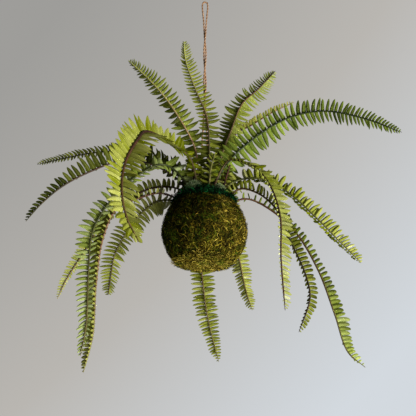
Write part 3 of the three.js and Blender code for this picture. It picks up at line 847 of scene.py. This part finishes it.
def frond_curve(frond):
    """A frond's path, the unit vectors along it, to its right and out of its upper side, and
    how far along each point is."""
    path, length = smooth_curve(BALL_CENTRE + np.array(frond["points"]) * MM, CURVE_SAMPLES)
    run = np.linspace(0, length, len(path))
    share = (run / length)[:, None]
    face = np.array(frond["face"], float)
    facing = unit(face * (1 - share) + np.array(frond.get("tip_face", face)) * share)
    along = tangents(path)
    side = unit(np.cross(along, facing))
    return path, along, side, np.cross(side, along), run


def make_frond(frond, seed, materials):
    """A frond's leaflets, midrib and scales as one piece."""
    rng = np.random.default_rng(seed)
    curve = frond_curve(frond)
    length = curve[-1][-1]
    start = max(BARE_SHARE * length, BARE_LEAST)
    pitch = np.array(frond["pitch"]) * MM
    parts = Parts()
    looks = {"fresh": frond["fresh"], "brown": frond["brown"]}
    for hand, offset in ((1, 0.0), (-1, pitch[0] / 2)):
        s = leaflet_places(start + offset, length, pitch)
        t = (s - start) / (length - start)
        add_leaflets(parts, hand, s, t, frond, curve, rng, looks)
    leaf_faces = sum(len(q) for q in parts.quads)
    add_midrib(parts, frond, curve, looks)
    add_scales(parts, curve, start, rng, looks)
    piece = parts.piece(frond["name"] + "_leaf", materials, "fern_leaf", frond["name"])
    index = np.ones(len(piece.data.polygons), dtype=np.int32)
    index[:leaf_faces] = 0
    piece.data.polygons.foreach_set("material_index", index)


def make_fronds():
    materials = [leaf_material(), rib_material()]
    for seed, frond in enumerate(FRONDS):
        make_frond({**PLAIN_FROND, **frond}, 100 + seed, materials)


# ---- Moss ----

# Levels are from the ball's centre.
HUB = 0.0005                # radius of the hole in the middle of a round bed, and of the floor
BALL_TOP = 0.049            # the moss ball's cut edges
BALL_BOTTOM = -0.0517
BALL_BED_DEPTH = 0.0042     # of the dark bed under its fibres
COLLAR_INNER = 0.029
COLLAR_REACH = 0.0405       # to the middle of its section
COLLAR_LEVEL = 0.05355
COLLAR_HALF = (0.0115, 0.00425)  # its section's half width and half height
COLLAR_BED_HALF = (0.01, 0.00325)
COLLAR_HANG = 0.35          # how much its fibres point down
PAD_LEVEL = 0.0555
BASE_RADIUS = 0.0455
BASE_LEVEL = -0.0565
BASE_PILE = 0.0018          # how deep the fibres on the patch lie
TUFTS = {                   # centre and half sizes, in mm from the ball's centre
    "moss_tuft_left": ((-17, -40, 61.5), (13, 8, 12)),
    "moss_tuft_right": ((24, -36, 59.5), (9, 7, 10)),
}


def ball_normal(points):
    return unit(points - BALL_CENTRE)


def ball_directions(count, low, high, rng):
    """Directions spread evenly over a ball between two heights, as shares of its radius."""
    z = rng.uniform(low, high, count)
    turn = rng.uniform(0, 2 * np.pi, count)
    return round_points(np.sqrt(1 - z**2), turn, z)


def add_ball_bed(parts, rng):
    """The lumpy ground under the ball's fibres, painted dark with shade."""
    low, high = (math.asin(level / BALL_RADIUS) for level in (BALL_BOTTOM, BALL_TOP))
    tilt, turn, quads = round_grid(low, high, rows=84, columns=170)
    away = round_points(np.cos(tilt), turn, np.sin(tilt))
    places = away * BALL_RADIUS
    rough = 0.0016 * lumps(places, 0.016, 1) + 0.0012 * lumps(places, 0.005, 2)
    vertices = BALL_CENTRE + away * (BALL_RADIUS - BALL_BED_DEPTH + rough)[:, None]
    tone = 0.1 + 0.1 * rng.standard_normal(len(vertices))
    parts.add(vertices, quads[:, ::-1], tone=tone, depth=0.15, green=0.3)


def add_ball_fibres(parts, rng, count, length, width, height, lift, shade):
    """Fibres on the ball; height is how far out they start and shade how much the outer are spared
    painted shade.
    """
    away = ball_directions(count, BALL_BOTTOM / BALL_RADIUS, BALL_TOP / BALL_RADIUS, rng)
    places = away * BALL_RADIUS
    clump = lumps(places, 0.006, 2)
    rough = 0.0016 * lumps(places, 0.016, 1) + 0.0010 * clump
    level = rng.uniform(*height, count)
    start = BALL_CENTRE + away * (BALL_RADIUS - 0.0006 + rough + level)[:, None]
    vertices, quads = ribbons(start, random_headings(away, rng), away, length, width, rng,
                              wander=0.6, lift=lift, normal_at=ball_normal, roll=0.35)
    outer = (level - height[0]) / (height[1] - height[0])
    # painted shade on the deeper fibres and in the gaps between clumps
    depth = 0.12 + np.clip(outer + 0.5 * clump, 0, 1) * shade
    # lighter and golder to the right, partly drier moss and partly painted light where the
    # key lamp falls; greener to the left; and lighter towards the foot of the ball
    tone = rng.normal(0.35, 0.28, count) + 0.2 * lumps(places, 0.02, 3)
    tone = tone + 0.2 * lumps(places, 0.0035, 6) + 0.14 * away[:, 0]
    tone = tone + 0.5 * np.clip(-0.45 - away[:, 2] + 0.1 * clump, 0, 1)
    green = rng.normal(0.0, 0.2, count) + 0.4 * lumps(places, 0.013, 4)
    green = np.clip(green - 0.15 * away[:, 0], 0, 1)
    straw = rng.random(count) < 0.02
    parts.add(vertices, quads, tone=np.clip(tone + straw * 0.7, 0, 1), depth=depth, green=green)


def make_ball_moss():
    rng = np.random.default_rng(21)
    material = moss_material("ball_moss", MOSS_GOLD)
    parts = Parts()
    add_ball_bed(parts, rng)
    add_ball_fibres(parts, rng, count=15000, length=(0.006, 0.012), width=(0.0007, 0.0013),
                    lift=(0.0, 0.6), height=(-0.0035, 0.0), shade=0.42)
    parts.piece("ball_moss", [material], "ball_moss", "moss_wrap")
    parts = Parts()
    add_ball_fibres(parts, rng, count=11000, length=(0.005, 0.012), width=(0.0005, 0.0011),
                    lift=(0.2, 1.0), height=(-0.0015, 0.0012), shade=0.9)
    parts.piece("ball_moss_loose", [material], "ball_moss")


def collar_points(turn, angle, rough, half):
    """Points round the collar's oval section, which is outermost at angle 0."""
    reach = COLLAR_REACH + half[0] * np.cos(angle) * rough
    return BALL_CENTRE + round_points(reach, turn, COLLAR_LEVEL + half[1] * np.sin(angle) * rough)


def add_collar_bed(parts, rng):
    angle, turn, quads = round_grid(0, 2 * np.pi, rows=24, columns=150)
    rough = 1 + 0.25 * lumps(round_points(COLLAR_REACH, turn, np.sin(angle) * 0.01), 0.009, 5)
    vertices = collar_points(turn, angle, rough, COLLAR_BED_HALF)
    tone = 0.1 + 0.1 * rng.standard_normal(len(vertices))
    # the bed under the fibres is painted dark with shade
    parts.add(vertices, quads, tone=tone, depth=0.1, green=0.0)


def add_collar_fibres(parts, rng, count):
    turn = rng.uniform(0, 2 * np.pi, count)
    angle = rng.uniform(-0.25 * np.pi, 1.15 * np.pi, count)
    rough = 1 + 0.22 * lumps(round_points(COLLAR_REACH, turn, angle * 0.004), 0.009, 5)
    start = collar_points(turn, angle, rough, COLLAR_HALF)
    normal = round_points(np.cos(angle), turn, np.sin(angle))
    heading = random_headings(normal, rng) + normal * rng.uniform(-0.1, 0.5, count)[:, None]
    vertices, quads = ribbons(start, heading - UP * COLLAR_HANG, normal, (0.005, 0.012),
                              (0.0007, 0.0013), rng, wander=0.55)
    clump = lumps(start, 0.005, 9)
    tone = np.clip(rng.normal(0.5, 0.2, count) + 0.5 * clump, 0, 1)
    # painted shade on fibres at random and in the gaps between clumps
    depth = np.clip(rng.uniform(0.1, 1.1, count) + 0.5 * clump, 0.05, 1)
    parts.add(vertices, quads, tone=tone, depth=depth, green=0.0)


def make_collar():
    rng = np.random.default_rng(31)
    parts = Parts()
    add_collar_bed(parts, rng)
    add_collar_fibres(parts, rng, 9000)
    material = moss_material("collar_moss", MOSS_DARK)
    parts.piece("collar_moss", [material], "collar_moss", "crown_moss_collar")


def make_crown_pad():
    """The moss between the feet of the stalks, inside the collar."""
    rng = np.random.default_rng(41)
    parts = Parts()
    reach, turn, quads = round_grid(HUB, COLLAR_INNER, rows=20, columns=90)
    bed = round_points(reach, turn)
    bed[:, 2] = PAD_LEVEL + 0.002 * lumps(bed, 0.009, 7)
    # the bed under the fibres is painted dark with shade
    parts.add(BALL_CENTRE + bed, quads, tone=0.2, depth=0.2, green=0.2)
    count = 5000
    start = BALL_CENTRE + bed[rng.integers(0, len(bed), count)]
    start[:, :2] += rng.normal(0, 0.001, (count, 2))
    normal = np.broadcast_to(UP, start.shape)
    heading = random_headings(normal, rng, (0.1, 0.9))
    vertices, quads = ribbons(start, heading, normal, (0.004, 0.009), (0.0004, 0.0009), rng)
    tone = np.clip(rng.normal(0.45, 0.2, count), 0, 1)
    # all the fibres take some painted shade
    parts.add(vertices, quads, tone=tone, depth=0.7, green=0.2)
    material = moss_material("crown_moss", MOSS_CROWN)
    parts.piece("crown_moss", [material], "crown_moss", "crown_moss_pad")


def make_tuft(name, centre, half, seed, material):
    """A fuzzy clump of very fine grey-green threads."""
    rng = np.random.default_rng(seed)
    centre, half = BALL_CENTRE + np.array(centre) * MM, np.array(half) * MM
    parts = Parts()
    tilt, turn, quads = round_grid(-1.55, 1.55, rows=26, columns=40)
    away = round_points(np.cos(tilt), turn, np.sin(tilt))
    rough = 0.62 + 0.2 * lumps(away * 0.01, 0.006, seed)
    vertices = centre + away * half * rough[:, None]
    # the core under the threads is painted dark with shade
    parts.add(vertices, quads[:, ::-1], tone=0.2, depth=0.2, green=0.0)
    count = 6000
    away = ball_directions(count, -1, 1, rng)
    inside = rng.uniform(0.5, 0.95, count) * (1 + 0.12 * lumps(away * 0.01, 0.006, seed))
    start = centre + away * half * inside[:, None]
    heading = random_headings(away, rng, (0.0, 1.4))
    vertices, quads = ribbons(start, heading, away, (0.002, 0.0055), (0.00018, 0.0004), rng,
                              segments=3, wander=0.7)
    tone = np.clip(rng.normal(0.5, 0.2, count), 0, 1)
    # threads that start deeper inside the clump take more painted shade
    parts.add(vertices, quads, tone=tone, depth=inside, green=0.0)
    parts.piece(name + "_threads", [material], "crown_moss", name)


def make_tufts():
    material = moss_material("tuft_moss", MOSS_GREY)
    for seed, (name, (centre, half)) in enumerate(TUFTS.items()):
        make_tuft(name, centre, half, 50 + seed, material)


def base_points(reach, turn):
    """Points of the patch under the ball, which is flat in the middle and rises at its rim."""
    share = np.clip(reach / BASE_RADIUS, 0, 1.2)
    return round_points(reach, turn, BASE_LEVEL + 0.0035 * share**6)


def make_base_patch():
    """The paler patch that closes the ball below."""
    rng = np.random.default_rng(61)
    parts = Parts()
    reach, turn, quads = round_grid(HUB, BASE_RADIUS, rows=34, columns=110)
    bed = base_points(reach, turn)
    bed[:, 2] += 0.0012 + 0.0006 * lumps(bed, 0.008, 8)
    # the bed under the fibres is painted dark with shade
    parts.add(BALL_CENTRE + bed, quads[:, ::-1], tone=0.3, depth=0.3, green=0.0)
    count = 8000
    turn = rng.uniform(0, 2 * np.pi, count)
    rim = 1.05 + 0.12 * lumps(round_points(1.0, turn), 0.25, 3)  # a ragged edge
    points = base_points(BASE_RADIUS * np.sqrt(rng.uniform(0, 1, count)) * rim, turn)
    level = rng.uniform(0, BASE_PILE, count)
    points[:, 2] += level
    normal = np.broadcast_to(-UP, points.shape)
    heading = random_headings(normal, rng, (-0.1, 0.12))
    vertices, quads = ribbons(BALL_CENTRE + points, heading, normal, (0.005, 0.011),
                              (0.0006, 0.0012), rng, wander=0.4)
    clump = lumps(points, 0.004, 6)
    tone = np.clip(rng.normal(0.46, 0.3, count) + 0.4 * clump, 0, 1)
    # painted shade on fibres deeper in the pile and between clumps
    depth = np.clip(1.1 - level / BASE_PILE * 0.8 + 0.4 * clump, 0.1, 1)
    green = np.clip(rng.normal(0.0, 0.15, count) + 0.5 * lumps(points, 0.012, 2), 0, 1)
    parts.add(vertices, quads, tone=tone, depth=depth, green=green)
    material = moss_material("base_moss", MOSS_PALE)
    parts.piece("base_moss", [material], "base_moss", "base_moss_patch")


def dress(node, material):
    """Gives a CAD piece, which shows as it is, its material."""
    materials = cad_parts[node].data.materials
    materials.clear()
    materials.append(material)


# ---- Stage ----

FLOOR_LEVEL = -1.6
FLOOR_RADIUS = 3.0
WORLD_LIGHT = 0.3           # how strongly the surroundings light the plant
WORLD_TOWARDS = (0.65, 0.0, -0.65)  # where they are palest
WORLD_COLOURS = [(0.0, (158, 157, 154)), (0.5, (185, 182, 177)), (1.0, (211, 217, 223))]
LIGHTS = {                  # place, size in metres, watts and colour
    "key": ((1.9, -1.15, -1.25), 0.7, 92, (1.0, 0.985, 0.95)),
    "below": ((0.3, -0.7, -1.5), 0.6, 10, (1.0, 0.99, 0.97)),
}


def make_lights():
    for name, (place, size, power, colour) in LIGHTS.items():
        data = bpy.data.lights.new(name, "AREA")
        data.shape = "DISK"
        data.size = size
        data.energy = power
        data.color = colour
        light = bpy.data.objects.new(name, data)
        light.location = place
        aim = Vector(BALL_CENTRE) - Vector(place)
        light.rotation_euler = aim.to_track_quat("-Z", "Y").to_euler()
        bpy.context.scene.collection.objects.link(light)


def make_floor():
    reach, turn, quads = round_grid(HUB, FLOOR_RADIUS, rows=12, columns=64)
    floor = mesh_object("floor", round_points(reach, turn, FLOOR_LEVEL), quads)
    floor.data.materials.append(floor_material())


def make_world():
    """A pale surrounding: a little darker and warmer to the upper left."""
    n = Nodes(bpy.data.worlds.new("studio"))
    bpy.context.scene.world = n.owner
    direction = n.node("ShaderNodeTexCoord").outputs["Generated"]
    inputs = {0: direction, 1: WORLD_TOWARDS}
    slope = n.node("ShaderNodeVectorMath", inputs, operation="DOT_PRODUCT").outputs["Value"]
    colour = n.ramp(n.spread(slope, -0.6, 0.1), WORLD_COLOURS)
    seen = n.node("ShaderNodeLightPath").outputs["Is Camera Ray"]
    inputs = {"Value": seen, "To Min": WORLD_LIGHT}
    strength = n.node("ShaderNodeMapRange", inputs).outputs["Result"]
    background = n.node("ShaderNodeBackground", {"Color": colour, "Strength": strength})
    n.node("ShaderNodeOutputWorld", {"Surface": background.outputs[0]})


# ---- The plant ----

make_twine()
make_fronds()
make_ball_moss()
make_collar()
make_crown_pad()
make_tufts()
make_base_patch()
dress("twine_knot", twine_material("knot", two_strands=False))
dress("soil_core", soil_material())
make_floor()
make_world()
make_lights()
bpy.context.scene.view_settings.view_transform = "Standard"
